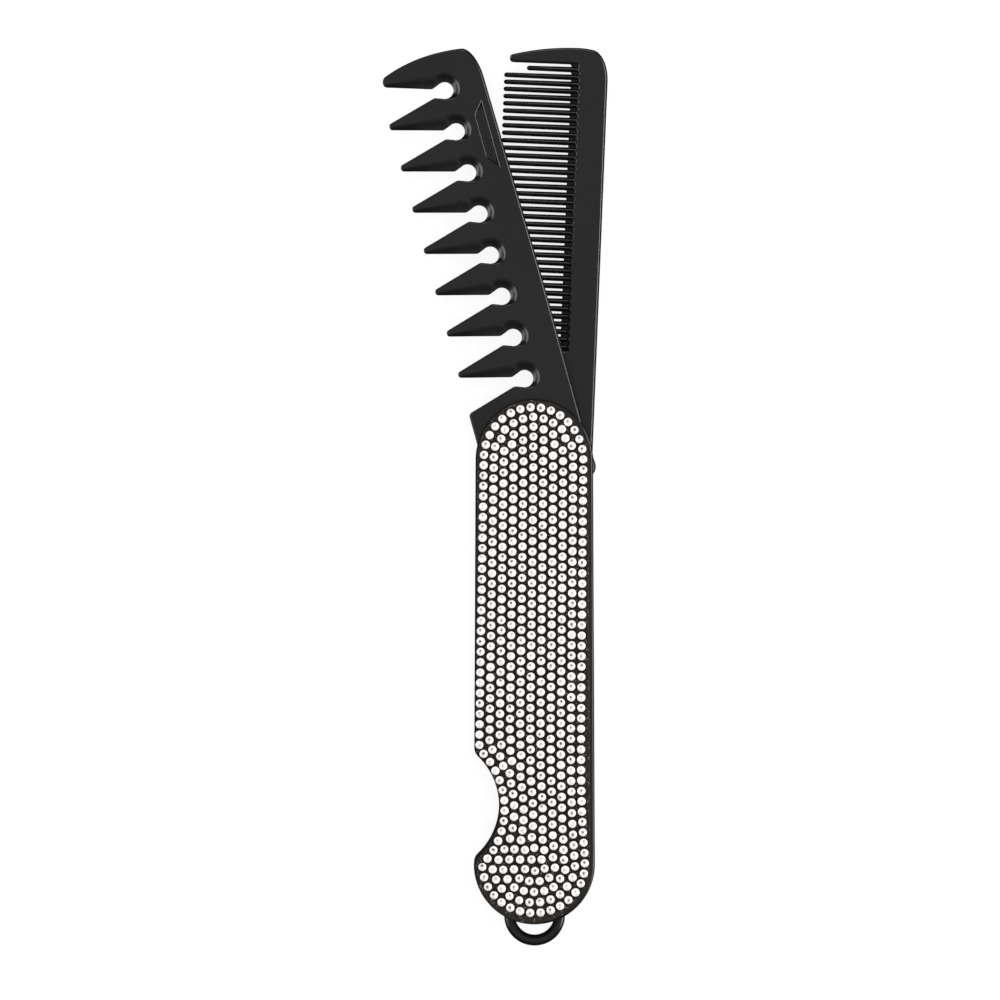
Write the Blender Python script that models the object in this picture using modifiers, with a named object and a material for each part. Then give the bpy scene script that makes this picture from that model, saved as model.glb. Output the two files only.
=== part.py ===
"""A folding pocket comb, lying open on its back.

A wide-toothed blade and a fine-toothed blade swing on one pin out of a two-part case. The case's front
is covered with small cut stones, and a half ring at its foot takes a cord or a key ring.
Units are metres. The pin's axis is the Z axis, the case lies along -Y, and z 0 is the face that it rests on.
"""

import math

import bmesh
import bpy
from mathutils import Matrix, Vector

# Case, seen from the front
CASE_LEFT = 0.0142
CASE_RIGHT = 0.01455
CASE_TAPER = 0.03  # how much narrower the round top is than the foot
CASE_TOP_Y = -0.0002  # centre of the round top
CASE_FOOT_Y = -0.0970  # centre of the round foot
NOTCH_X = -0.0247  # centre of the finger notch's arc
NOTCH_Y = -0.0832
NOTCH_RADIUS = 0.0165
NOTCH_FILLET = 0.003
WALL = 0.002
WALL_TOP_Y = -0.0043  # the closed side starts here, under the blades' heels
WALL_END_ANGLE = 200  # and ends here on the foot's arc

# Heights above the face that the comb rests on
BACK_FLOOR_Z = 0.0022
BACK_SEAM_Z = 0.0061
FRONT_SEAM_Z = 0.0063
FRONT_CEILING_Z = 0.0109
FRONT_FACE_Z = 0.0130
BACK_EDGE = 0.0012  # the back's rounded edge
FRONT_EDGE = 0.0005  # the front's chamfer
FRONT_EDGE_RIGHT = 0.0011  # and how much wider it is on the closed side
FRONT_EDGE_HEIGHT = 0.0011

# Stones and the sheet that they are set in
STONE_WIDTH = 0.00236
STONE_HEIGHT = 0.00095
STONE_TABLE = 0.00125
STONE_PITCH = 0.00248
STONE_SIDES = 8
STONE_SINK = 0.0002
BORDER_INSET = 0.00204  # from the case's edge to the middle of the outermost row
BORDER_INSET_RIGHT = 0.00015
BORDER_FOOT_RISE = 0.00084  # how far the rows stay clear of the foot, beyond the inset
FIELD_DRIFT = 0.0012  # how far the rows drift to the left on their way down
FIELD_FOOT_Y = -0.0950  # where they are back in line
SHEET_INSET = 0.0004
SHEET_INSET_RIGHT = 0.0006
SHEET_GAP = 0.0002
SHEET_THICKNESS = 0.0004

# Pin
PIN_RADIUS = 0.0025
PIN_BORE = 0.00275
PIN_LOW_Z = 0.0013
PIN_HIGH_Z = 0.0119
PIN_END_GAP = 0.0001

# What both blades share. A blade's own frame has the pin at 0, 0, its back at +X and its tip at +Y
TANG_RADIUS = 0.0120

# Wide-toothed blade
WIDE_REST_ANGLE = 15.5
WIDE_Z = 0.00855
WIDE_THICKNESS = 0.0041
WIDE_BACK_X = 0.01374
WIDE_BACK_TOP_X = 0.0131
WIDE_BACK_STRAIGHT_Y = 0.042  # the back is straight up to here
WIDE_HEEL_Y = -0.0033
WIDE_CORNER = (0.00365, 0.00835)  # its width and height
WIDE_APEX = (0.0028, 0.0999)  # where the tip's edge is furthest out
WIDE_TIP_RADIUS = 0.0461  # from there to the back
END_TOP = (-0.00906, 0.09621)  # centre of the end tooth's nose, above its foremost point
END_TOP_RADIUS = 0.0016
END_UNDER_RADIUS = 0.0010  # and below it
WIDE_TEETH = 8
WIDE_PITCH = 0.010245
WIDE_FIRST_TOOTH_Y = 0.08577
WIDE_TOOTH_PITCH = 0.010286  # the teeth's ends fan out a little
WIDE_FIRST_GAP_Y = 0.09077
KEYHOLE_X = 0.00318
KEYHOLE_RADIUS = 0.00209
LIP_X = 0.00036
LIP_HALF_GAP = 0.00115
WIDE_TOOTH_X = -0.01116
WIDE_TOOTH_TIP = 0.00078
SHOULDER_Y = 0.0144
SCOOP_RADIUS = 0.0039
SCOOP_SHIFT = 0.00046
SCOOP_DEPTH = 0.0012
WINDOW_BACK_X = 0.0112
WINDOW_FRONT_X = 0.0085
WINDOW_TOP_Y = 0.0864
WINDOW_FOOT_Y = 0.0691
WINDOW_SLANT = 0.0031
WINDOW_DEPTH = 0.0005

# Fine-toothed blade
FINE_REST_ANGLE = -2.3
FINE_Z = 0.0043
FINE_THICKNESS = 0.0036
FINE_BACK_X = 0.01413
FINE_BACK_TOP_X = 0.01415
FINE_HEEL = ((0.0141, -0.0034), (0.0149, -0.0028), (0.0152, -0.0016), (0.0150, -0.0004))  # what stops it
FINE_CORNER = (0.0042, 0.0075)
FINE_APEX = (0.00705, 0.0992)
FINE_TIP_RADIUS = 0.0181
FINE_TEETH = 37
FINE_PITCH = 0.00183
FINE_CLOSER = 0.00094  # the first teeth stand closer together, by this much in all
FINE_CLOSER_TEETH = 6
FINE_FIRST_TOOTH_Y = 0.09215
FINE_ROOT_X = 0.0055
FINE_LEDGE_X = 0.0071
FINE_TOOTH_X = -0.01066
FINE_TOOTH_ROOT = 0.00063
FINE_TOOTH_END = 0.00050
FINE_TOOTH_POINT = 0.0006
SHORT_TOOTH_X = -0.00525
SHORT_TOOTH_Y = 0.0940
GUARD = (-0.0085, 0.09623)
GUARD_TIP = 0.0009
TAPER_FROM_Y = 0.0515
TAPER_SLOPE = 0.32
LEDGE_DEPTH = 0.0004
TOOTH_END_DEPTH = 0.0010

# Half ring
RING_X = 0.0004
RING_Y = -0.1098
RING_OUTER = 0.00733
RING_INNER = 0.0047
RING_LOW_Z = 0.0032
RING_HIGH_Z = 0.0064
RING_GAP = 0.0002

BLACK = (0.022, 0.022, 0.024, 1)
INK = (0.012, 0.012, 0.013, 1)
CRYSTAL = (0.93, 0.92, 0.92, 1)
STEEL = (0.5, 0.5, 0.52, 1)


def arc(centre, radius, start, end, steps):
    """Points from one angle to another, in degrees. The radius is one number, or one for x and one for y."""
    wide, high = radius if isinstance(radius, tuple) else (radius, radius)
    angles = [math.radians(start + (end - start) * i / steps) for i in range(steps + 1)]
    return [(centre[0] + wide * math.cos(a), centre[1] + high * math.sin(a)) for a in angles]


def rounded(before, corner, after, radius, steps=3):
    """The corner between two straight edges, as an arc that touches both."""
    to_before = (Vector(before) - Vector(corner)).normalized()
    to_after = (Vector(after) - Vector(corner)).normalized()
    half = to_before.angle(to_after) / 2
    centre = Vector(corner) + (to_before + to_after).normalized() * (radius / math.sin(half))
    first = Vector(corner) + to_before * (radius / math.tan(half)) - centre
    last = Vector(corner) + to_after * (radius / math.tan(half)) - centre
    turn = first.angle_signed(last)
    return [
        tuple(centre + Matrix.Rotation(-turn * i / steps, 2) @ first) for i in range(steps + 1)
    ]


def case_outline(inset=0.0, right_inset=0.0, foot_rise=0.0):
    """The case's edge, anticlockwise, or the same line further in. Its count of points is always the same."""
    left = -CASE_LEFT + inset
    right = CASE_RIGHT - inset - right_inset
    middle = (left + right) / 2
    radii = ((right - left) / 2, (CASE_LEFT + CASE_RIGHT) / 2 - inset)
    fillet = NOTCH_FILLET - inset
    fillet_x = left + fillet
    reach = NOTCH_RADIUS + NOTCH_FILLET
    fillet_rise = math.sqrt(reach**2 - (fillet_x - NOTCH_X) ** 2)
    lean = math.degrees(math.atan2(fillet_rise, fillet_x - NOTCH_X))
    points = arc((middle, CASE_TOP_Y), radii, 0, 180, 18)
    points += arc((fillet_x, NOTCH_Y + fillet_rise), fillet, 180, 180 + lean, 4)
    points += arc((NOTCH_X, NOTCH_Y), NOTCH_RADIUS + inset, lean, -lean, 10)[1:-1]
    points += arc((fillet_x, NOTCH_Y - fillet_rise), fillet, 180 - lean, 180, 4)[:-1]
    points += arc((middle, CASE_FOOT_Y), (radii[0], radii[1] - foot_rise), 180, 360, 18)
    slope = CASE_TAPER / (CASE_TOP_Y - CASE_FOOT_Y)
    return [(x * (1 - slope * (y - CASE_FOOT_Y)), y) for x, y in points]


def material(name, colour, roughness, metallic=0.0, transmission=0.0):
    made = bpy.data.materials.new(name)
    made.use_nodes = True
    made.diffuse_color = colour
    shader = made.node_tree.nodes["Principled BSDF"]
    shader.inputs["Base Color"].default_value = colour
    shader.inputs["Roughness"].default_value = roughness
    shader.inputs["Metallic"].default_value = metallic
    shader.inputs["Transmission Weight"].default_value = transmission
    return made


def collection(name):
    made = bpy.data.collections.new(name)
    bpy.context.scene.collection.children.link(made)
    return made


def place(name, mesh, group, finish=None):
    """A new object in a collection. A cutter has no finish, and is hidden."""
    obj = bpy.data.objects.new(name, mesh)
    group.objects.link(obj)
    if finish is None:
        obj.hide_render = True
        obj.display_type = "WIRE"
    else:
        mesh.materials.clear()
        mesh.materials.append(finish)
    return obj


def loft(sections):
    """A closed mesh through outlines of equal count, each with its height, from the lowest up."""
    shape = bmesh.new()
    rings = [[shape.verts.new((x, y, z)) for x, y in points] for points, z in sections]
    shape.faces.new(reversed(rings[0]))
    shape.faces.new(rings[-1])
    for low, high in zip(rings, rings[1:]):
        for i, vertex in enumerate(low):
            after = (i + 1) % len(low)
            shape.faces.new((vertex, low[after], high[after], high[i]))
    mesh = bpy.data.meshes.new("loft")
    shape.to_mesh(mesh)
    shape.free()
    return mesh


def plate(points, low_z, high_z):
    """A flat outline made thick: a filled 2D curve, extruded both ways and turned into a closed mesh."""
    curve = bpy.data.curves.new("outline", "CURVE")
    curve.dimensions = "2D"
    curve.fill_mode = "BOTH"
    curve.extrude = (high_z - low_z) / 2
    spline = curve.splines.new("POLY")
    spline.points.add(len(points) - 1)
    for point, (x, y) in zip(spline.points, points):
        point.co = (x, y, 0, 1)
    spline.use_cyclic_u = True
    guide = bpy.data.objects.new("outline", curve)
    bpy.context.scene.collection.objects.link(guide)
    graph = bpy.context.evaluated_depsgraph_get()
    mesh = bpy.data.meshes.new_from_object(guide.evaluated_get(graph))
    bpy.data.objects.remove(guide)
    bpy.data.curves.remove(curve)
    mesh.transform(Matrix.Translation((0, 0, (low_z + high_z) / 2)))
    shape = bmesh.new()
    shape.from_mesh(mesh)
    bmesh.ops.remove_doubles(shape, verts=shape.verts, dist=1e-6)
    bmesh.ops.recalc_face_normals(shape, faces=shape.faces)
    shape.to_mesh(mesh)
    shape.free()
    return mesh


def cylinder(radius, low_z, high_z, sides=24):
    shape = bmesh.new()
    middle = Matrix.Translation((0, 0, (low_z + high_z) / 2))
    bmesh.ops.create_cone(
        shape,
        cap_ends=True,
        segments=sides,
        radius1=radius,
        radius2=radius,
        depth=high_z - low_z,
        matrix=middle,
    )
    mesh = bpy.data.meshes.new("cylinder")
    shape.to_mesh(mesh)
    shape.free()
    return mesh


def boolean(obj, other, operation="DIFFERENCE"):
    modifier = obj.modifiers.new(other.name, "BOOLEAN")
    modifier.operation = operation
    modifier.solver = "EXACT"
    modifier.object = other


def soften(obj, angle=30):
    """Smooth shading with the sharp edges kept."""
    obj.data.shade_smooth()
    obj.data.set_sharp_from_angle(angle=math.radians(angle))


def blade_pocket(cutters):
    """What the blades need inside the case. It is open on the left and at the top, and walled elsewhere."""
    inner_x = CASE_RIGHT - WALL
    middle = (CASE_RIGHT - CASE_LEFT) / 2
    foot = (middle, CASE_FOOT_Y)
    outside = 2 * CASE_RIGHT
    points = [(outside, WALL_TOP_Y), (inner_x, WALL_TOP_Y)]
    points += arc(foot, inner_x - middle, 360, WALL_END_ANGLE, 16)
    points += arc(foot, outside, WALL_END_ANGLE, WALL_END_ANGLE, 1)[:1]
    points += [(-outside, outside), (outside, outside)]
    return place("blade_pocket", plate(points[::-1], BACK_FLOOR_Z, FRONT_CEILING_Z), cutters)


def case_back(parts, cutters, pocket, finish):
    """The back moulding: a floor with a rounded edge, and half the height of the wall on the closed side."""
    sections = [
        (case_outline(BACK_EDGE), 0.0),
        (case_outline(BACK_EDGE * 0.3), BACK_EDGE * 0.3),
        (case_outline(), BACK_EDGE),
        (case_outline(), BACK_SEAM_Z),
    ]
    shell = place("back_shell", loft(sections), parts, finish)
    boolean(shell, pocket)
    bore = cylinder(PIN_BORE, PIN_LOW_Z - PIN_END_GAP, BACK_SEAM_Z)
    boolean(shell, place("back_bore", bore, cutters))


def case_front(parts, cutters, pocket, finish):
    """The front moulding: the face that carries the stones, its chamfer, and the other half of the wall."""
    face = case_outline(FRONT_EDGE, FRONT_EDGE_RIGHT)
    sections = [
        (case_outline(), FRONT_SEAM_Z),
        (case_outline(), FRONT_FACE_Z - FRONT_EDGE_HEIGHT),
        (face, FRONT_FACE_Z),
    ]
    shell = place("front_shell", loft(sections), parts, finish)
    boolean(shell, pocket)
    bore = cylinder(PIN_BORE, FRONT_SEAM_Z, PIN_HIGH_Z + PIN_END_GAP)
    boolean(shell, place("front_bore", bore, cutters))


def even_steps(points, pitch):
    """Places at equal steps along a closed line, as near to the pitch as a whole number of steps allows."""
    loop = [Vector(p) for p in points] + [Vector(points[0])]
    lengths = [(b - a).length for a, b in zip(loop, loop[1:])]
    count = round(sum(lengths) / pitch)
    step = sum(lengths) / count
    places = []
    walked = 0.0
    for start, end, length in zip(loop, loop[1:], lengths):
        while len(places) < count and len(places) * step < walked + length:
            share = (len(places) * step - walked) / length
            places.append(start.lerp(end, share))
        walked += length
    return places


def field_drift(y):
    """How far the stones lie to the right of where the case's edge would put them. It is never above 0."""
    share = min(1.0, max(0.0, y / FIELD_FOOT_Y))
    return -FIELD_DRIFT * share * (1 - share**8)


def stone_panel(parts, cutters, finish):
    """The sheet that the stones are set in, with the outermost row of stones fused to it.

    A stone is a cone of eight facets cut off flat at its table. The rows inside the border are finish work.
    """
    low_z = FRONT_FACE_Z + SHEET_GAP
    high_z = low_z + SHEET_THICKNESS
    edge = case_outline(SHEET_INSET, SHEET_INSET_RIGHT)
    panel = place("stone_panel", plate(edge, low_z, high_z), parts, finish)
    border = case_outline(BORDER_INSET, BORDER_INSET_RIGHT, BORDER_FOOT_RISE)
    border = [(x + field_drift(y), y) for x, y in border]
    shape = bmesh.new()
    height = STONE_HEIGHT + STONE_SINK
    for x, y in even_steps(border, STONE_PITCH):
        bmesh.ops.create_cone(
            shape,
            cap_ends=True,
            segments=STONE_SIDES,
            radius1=STONE_WIDTH / 2,
            radius2=STONE_TABLE / 2,
            depth=height,
            matrix=Matrix.Translation((x, y, high_z - STONE_SINK + height / 2)),
        )
    mesh = bpy.data.meshes.new("border_stones")
    shape.to_mesh(mesh)
    shape.free()
    boolean(panel, place("border_stones", mesh, cutters), "UNION")


def half_ring(parts, finish):
    """The ring at the foot. Its ends stop just under the case's round edge, which it is moulded to."""
    middle = (CASE_RIGHT - CASE_LEFT) / 2
    radius = (CASE_RIGHT + CASE_LEFT) / 2 + RING_GAP

    def start_angle(ring_radius):
        """Where a circle about the ring's centre leaves the case's foot, in degrees below the horizontal."""
        angle = 0.0
        while True:
            x = RING_X + ring_radius * math.cos(math.radians(-angle)) - middle
            y = RING_Y + ring_radius * math.sin(math.radians(-angle)) - CASE_FOOT_Y
            if math.hypot(x, y) > radius:
                return angle
            angle += 0.1

    outer = start_angle(RING_OUTER)
    inner = start_angle(RING_INNER)
    points = arc((RING_X, RING_Y), RING_OUTER, 180 + outer, 360 - outer, 16)
    points += arc((RING_X, RING_Y), RING_INNER, 360 - inner, 180 + inner, 12)
    ring = place("hanging_ring", plate(points, RING_LOW_Z, RING_HIGH_Z), parts, finish)
    edge = ring.modifiers.new("round_edge", "BEVEL")
    edge.width = 0.0007
    edge.segments = 2
    edge.limit_method = "ANGLE"
    edge.angle_limit = math.radians(50)


def tangent_angle(centre, radius, point, turn):
    """Where the line from a point touches a circle, in degrees about its centre. The turn picks the side."""
    away = Vector(point) - Vector(centre)
    return math.degrees(math.atan2(away.y, away.x) + turn * math.acos(radius / away.length))


def blade_tip(back_x, corner, apex, radius, tooth, tooth_radius):
    """The back's rounded corner, the two arcs that meet at the tip's furthest point, and the end tooth's top.

    All of them join smoothly. The second arc's radius is the one that touches the tooth's circle.
    """
    middle_x = back_x - corner[0]
    join = math.pi / 2  # how far the corner's quarter ellipse goes on before the first arc takes over
    for _ in range(6):
        start = math.asin((middle_x + corner[0] * math.cos(join) - apex[0]) / radius)
        join = math.atan2(corner[1], corner[0] * math.tan(start))
    corner_y = apex[1] - radius * (1 - math.cos(start)) - corner[1] * math.sin(join)
    along = tooth[0] - apex[0]
    drop = apex[1] - tooth[1]
    long_radius = (along**2 + drop**2 - tooth_radius**2) / (2 * (drop - tooth_radius))
    touch = 90 - math.degrees(math.asin(along / (long_radius - tooth_radius)))
    points = arc((middle_x, corner_y), corner, 0, math.degrees(join), 8)
    points += arc((apex[0], apex[1] - radius), radius, 90 - math.degrees(start), 90, 4)[1:]
    points += arc((apex[0], apex[1] - long_radius), long_radius, 90, touch, 5)[1:]
    return points + arc(tooth, tooth_radius, touch, 180, 4)[1:]


def wide_tooth_y(i):
    """Where a tooth's round end is. The end tooth counts as -1."""
    return WIDE_FIRST_TOOTH_Y - i * WIDE_TOOTH_PITCH


def wide_outline():
    """The wide-toothed blade's edge in its own frame, anticlockwise from its heel."""
    points = [(WIDE_BACK_X, WIDE_HEEL_Y), (WIDE_BACK_X, WIDE_BACK_STRAIGHT_Y)]
    points += blade_tip(WIDE_BACK_TOP_X, WIDE_CORNER, WIDE_APEX, WIDE_TIP_RADIUS, END_TOP, END_TOP_RADIUS)
    tip = (END_TOP[0] - END_TOP_RADIUS + END_UNDER_RADIUS, END_TOP[1])
    radius, start = END_UNDER_RADIUS, 180
    for i in range(WIDE_TEETH):
        gap_y = WIDE_FIRST_GAP_Y - i * WIDE_PITCH
        upper_lip = (LIP_X, gap_y + LIP_HALF_GAP)
        lower_lip = (LIP_X, gap_y - LIP_HALF_GAP)
        points += arc(tip, radius, start, 360 + tangent_angle(tip, radius, upper_lip, -1), 3)[1:]
        points.append(upper_lip)
        points += arc((KEYHOLE_X, gap_y), KEYHOLE_RADIUS, 124, -124, 12)
        points.append(lower_lip)
        if i < WIDE_TEETH - 1:
            tip, radius = (WIDE_TOOTH_X, wide_tooth_y(i)), WIDE_TOOTH_TIP
            start = tangent_angle(tip, radius, lower_lip, 1)
            points.append(arc(tip, radius, start, start, 1)[0])
    shoulder = (-TANG_RADIUS, SHOULDER_Y)
    points += rounded(points[-1], shoulder, (-TANG_RADIUS, 0), 0.0008)
    heel_angle = math.degrees(math.asin(WIDE_HEEL_Y / TANG_RADIUS))
    return points + arc((0, 0), TANG_RADIUS, 180, 360 + heel_angle, 14)


def scoop(gap_y, tooth_y, face_z, depth_z):
    """The hollow round a keyhole and along the tooth above it: a cutter from above the face to its floor."""
    tip = (WIDE_TOOTH_X - 2 * WIDE_TOOTH_TIP, tooth_y)
    under = (tip[0], tooth_y - 3 * WIDE_TOOTH_TIP)
    rim_centre = (KEYHOLE_X, gap_y + SCOOP_SHIFT)
    floor_tip = (tip[0], tip[1] - WIDE_TOOTH_TIP)
    slope = 1.2  # how far the cutter stands above the face, as a share of its depth

    def comet(centre, radius, first, below):
        return [first, below] + arc(centre, radius, 250, 450, 14)

    rim = comet(rim_centre, SCOOP_RADIUS, tip, under)
    floor = comet((KEYHOLE_X, gap_y), KEYHOLE_RADIUS * 1.05, floor_tip, under)
    above = [(a[0] + (a[0] - b[0]) * slope, a[1] + (a[1] - b[1]) * slope) for a, b in zip(rim, floor)]
    sections = [(floor, depth_z), (rim, face_z), (above, face_z + (face_z - depth_z) * slope)]
    return loft(sections if face_z > depth_z else sections[::-1])


def wide_comb(parts, cutters, pivot, finish):
    """The wide-toothed blade: a plate with eight keyhole gaps, hollowed round each gap on both faces."""
    half = WIDE_THICKNESS / 2
    blade = place("wide_comb", plate(wide_outline(), -half, half), parts, finish)
    blade.parent = pivot
    blade.location.z = WIDE_Z
    blade.rotation_euler.z = math.radians(WIDE_REST_ANGLE)
    tools = []
    for side in (1, -1):
        for i in range(WIDE_TEETH):
            gap_y = WIDE_FIRST_GAP_Y - i * WIDE_PITCH
            mesh = scoop(gap_y, wide_tooth_y(i - 1), side * half, side * (half - SCOOP_DEPTH))
            tools.append(place(f"scoop_{side}_{i}", mesh, cutters))
    window = [
        (WINDOW_BACK_X, WINDOW_FOOT_Y),
        (WINDOW_BACK_X, WINDOW_TOP_Y),
        (WINDOW_FRONT_X, WINDOW_TOP_Y - WINDOW_SLANT),
        (WINDOW_FRONT_X, WINDOW_FOOT_Y + WINDOW_SLANT),
    ]
    tools.append(place("window", plate(window, half - WINDOW_DEPTH, 2 * half), cutters))
    tools.append(place("wide_bore", cylinder(PIN_BORE, -2 * half, 2 * half), cutters))
    for tool in tools:
        tool.parent = blade
        boolean(blade, tool)
    return blade


def fine_tooth_y(i):
    """Where a tooth's middle is, counted from the tip end, where the teeth stand a little closer."""
    return FINE_FIRST_TOOTH_Y - i * FINE_PITCH + FINE_CLOSER * (1 - math.exp(-i / FINE_CLOSER_TEETH))


def fine_outline():
    """The fine-toothed blade's edge in its own frame, anticlockwise from the heel that stops it."""
    points = list(FINE_HEEL) + [(FINE_BACK_X, 0.0018)]
    points += blade_tip(FINE_BACK_TOP_X, FINE_CORNER, FINE_APEX, FINE_TIP_RADIUS, GUARD, GUARD_TIP)
    points += arc(GUARD, GUARD_TIP, 180, 270, 3)[1:]
    guard_foot_y = GUARD[1] - GUARD_TIP
    teeth = [(SHORT_TOOTH_X, SHORT_TOOTH_Y)]
    for i in range(FINE_TEETH):
        tooth_y = fine_tooth_y(i)
        cut_back = max(0.0, TAPER_FROM_Y - tooth_y) * TAPER_SLOPE
        teeth.append((FINE_TOOTH_X + cut_back, tooth_y))
    corner_x = FINE_ROOT_X - 0.00015

    def root(above, below):
        """The end of one gap, between two teeth, with its corners eased."""
        return [(corner_x, above), (FINE_ROOT_X, (above + below) / 2), (corner_x, below)]

    above = guard_foot_y
    for tip_x, tooth_y in teeth:
        points += root(above, tooth_y + FINE_TOOTH_ROOT)
        shoulder_x = tip_x + FINE_TOOTH_POINT
        points.append((shoulder_x, tooth_y + FINE_TOOTH_END))
        points.append((tip_x, tooth_y))
        points.append((shoulder_x, tooth_y - FINE_TOOTH_END))
        above = tooth_y - FINE_TOOTH_ROOT
    heel_top = above - (FINE_PITCH - 2 * FINE_TOOTH_ROOT)
    points += root(above, heel_top)
    points += [(0.0012, heel_top - 0.0004), (0.0002, 0.0174)]
    return points + arc((0, 0), TANG_RADIUS, 110, 345, 20)


def fine_comb(parts, cutters, pivot, finish):
    """The fine-toothed blade: slim teeth, thinner than the back and thinner still at their ends."""
    half = FINE_THICKNESS / 2
    blade = place("fine_comb", plate(fine_outline(), -half, half), parts, finish)
    blade.parent = pivot
    blade.location.z = FINE_Z
    blade.rotation_euler.z = math.radians(FINE_REST_ANGLE)
    top_y = GUARD[1] - GUARD_TIP - 0.00005
    heel_y = fine_tooth_y(FINE_TEETH - 0.5)
    ends_x = FINE_TOOTH_X - 0.001
    tools = [place("fine_bore", cylinder(PIN_BORE, -2 * half, 2 * half), cutters)]
    for side in (1, -1):
        root_z = side * (half - LEDGE_DEPTH)
        end_z = side * (half - TOOTH_END_DEPTH)
        clear_z = side * 2 * half
        section = [(FINE_LEDGE_X, root_z), (FINE_LEDGE_X, clear_z), (ends_x, clear_z), (ends_x, end_z)]
        wedge = plate(section[::side], 0, top_y - heel_y)
        upright = Matrix.Rotation(math.pi / 2, 4, "X")
        wedge.transform(Matrix.Translation((0, top_y, 0)) @ upright)
        tools.append(place(f"tooth_taper_{side}", wedge, cutters))
    for tool in tools:
        tool.parent = blade
        boolean(blade, tool)
    return blade


def main():
    for obj in list(bpy.data.objects):
        bpy.data.objects.remove(obj)
    parts = collection("folding_comb")
    cutters = collection("cutters")
    plastic = material("black_plastic", BLACK, 0.45)
    blade_plastic = material("blade_plastic", INK, 0.5)
    stones = material("stones", CRYSTAL, 0.05, transmission=0.3)
    steel = material("pin_steel", STEEL, 0.3, metallic=1.0)

    pocket = blade_pocket(cutters)
    case_back(parts, cutters, pocket, plastic)
    case_front(parts, cutters, pocket, plastic)
    stone_panel(parts, cutters, stones)
    half_ring(parts, plastic)
    pin = place("pivot_pin", cylinder(PIN_RADIUS, PIN_LOW_Z, PIN_HIGH_Z), parts, steel)
    pivot = bpy.data.objects.new("pivot", None)
    parts.objects.link(pivot)
    wide = wide_comb(parts, cutters, pivot, blade_plastic)
    fine = fine_comb(parts, cutters, pivot, blade_plastic)
    for obj in (pin, wide, fine):
        soften(obj)


main()
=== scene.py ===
"""The looks of an open folding comb with a stone-covered case, in metres.

The comb lies on its back on a pale floor. The pin stands at 0, 0 and the case lies along -Y. Each section
makes one piece in the order that the comb is put together in.
"""

import math

import bpy
import numpy as np
from mathutils.geometry import tessellate_polygon
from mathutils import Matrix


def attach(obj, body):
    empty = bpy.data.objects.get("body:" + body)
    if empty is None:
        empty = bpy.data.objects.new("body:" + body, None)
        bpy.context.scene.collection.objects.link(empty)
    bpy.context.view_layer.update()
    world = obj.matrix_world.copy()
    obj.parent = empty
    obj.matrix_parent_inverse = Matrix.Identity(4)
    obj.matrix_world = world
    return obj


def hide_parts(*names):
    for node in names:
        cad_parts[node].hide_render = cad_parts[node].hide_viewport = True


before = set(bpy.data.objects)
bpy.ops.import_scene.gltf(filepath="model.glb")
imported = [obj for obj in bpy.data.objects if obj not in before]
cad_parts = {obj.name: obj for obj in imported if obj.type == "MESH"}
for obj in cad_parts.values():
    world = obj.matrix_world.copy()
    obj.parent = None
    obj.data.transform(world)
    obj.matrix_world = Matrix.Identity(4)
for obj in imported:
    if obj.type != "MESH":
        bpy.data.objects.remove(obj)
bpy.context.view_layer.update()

# The back half of the case: one moulding of black plastic with a flat back, a rounded edge, and half of the
# wall that closes the right side and the foot. The blades fold in over its floor.

CASE_LEFT = 0.0142
CASE_RIGHT = 0.0148
CASE_TAPER = 0.03
CASE_TOP_Y = -0.0002
CASE_FOOT_Y = -0.0970
NOTCH = (-0.0247, -0.0832)
NOTCH_RADIUS = 0.0165
NOTCH_FILLET = 0.003
WALL = 0.002
WALL_TOP_Y = -0.0043
WALL_END = 200
BACK_FLOOR_Z = 0.0022
BACK_ROUND = 0.0012
SEAM_Z = 0.0062
SEAM_HALF = 0.00006
LIP_ROUND = 0.00025
LIP_MIDDLE = 0.3
MARGIN = 0.00004
HALF_ROUND_POINTS = 65
FILLET_POINTS = 12
NOTCH_POINTS = 34
SIDE_POINTS = 20
FOOT_POINTS = 60
SLIVER_AREA = 1e-14
CASE_COLOUR = (0.0038, 0.0038, 0.0040)
PLASTIC_IOR = 1.5
GRAIN_SCALE = 5200
GRAIN_STRENGTH = 0.6
CLOUD_SCALE = 45
CLOUD_SHEEN = 0.05
NOISE_BAND = (0.3, 0.7)
DUST_AND_GLINT_SCALE = 1700
DUST_AND_GLINT_ROUGHNESS = 0.7
DUST_AND_GLINT_LIFT = 0.14
DUST_AND_GLINT_BAND = (0.88, 0.94)
DUST_AND_GLINT_COLOUR = (0.16, 0.155, 0.15, 1)
DUST_AND_GLINT_DULLNESS = 0.3
DUST_AND_GLINT_HEIGHT = 2


def arc(centre, radii, start, end, count):
    """Points on a circle or, with two radii, an ellipse, from one angle to another in degrees: the centre
    plus the cosine and the sine."""
    angle = np.radians(np.linspace(start, end, count))
    wide, high = np.broadcast_to(radii, 2)
    return np.stack([centre[0] + wide * np.cos(angle), centre[1] + high * np.sin(angle)], -1)


def narrowed(points):
    """The case's slight taper: x shrinks evenly with the height above the foot's centre."""
    share = (points[:, 1] - CASE_FOOT_Y) / (CASE_TOP_Y - CASE_FOOT_Y)
    return np.stack([points[:, 0] * (1 - CASE_TAPER * share), points[:, 1]], -1)


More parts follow.
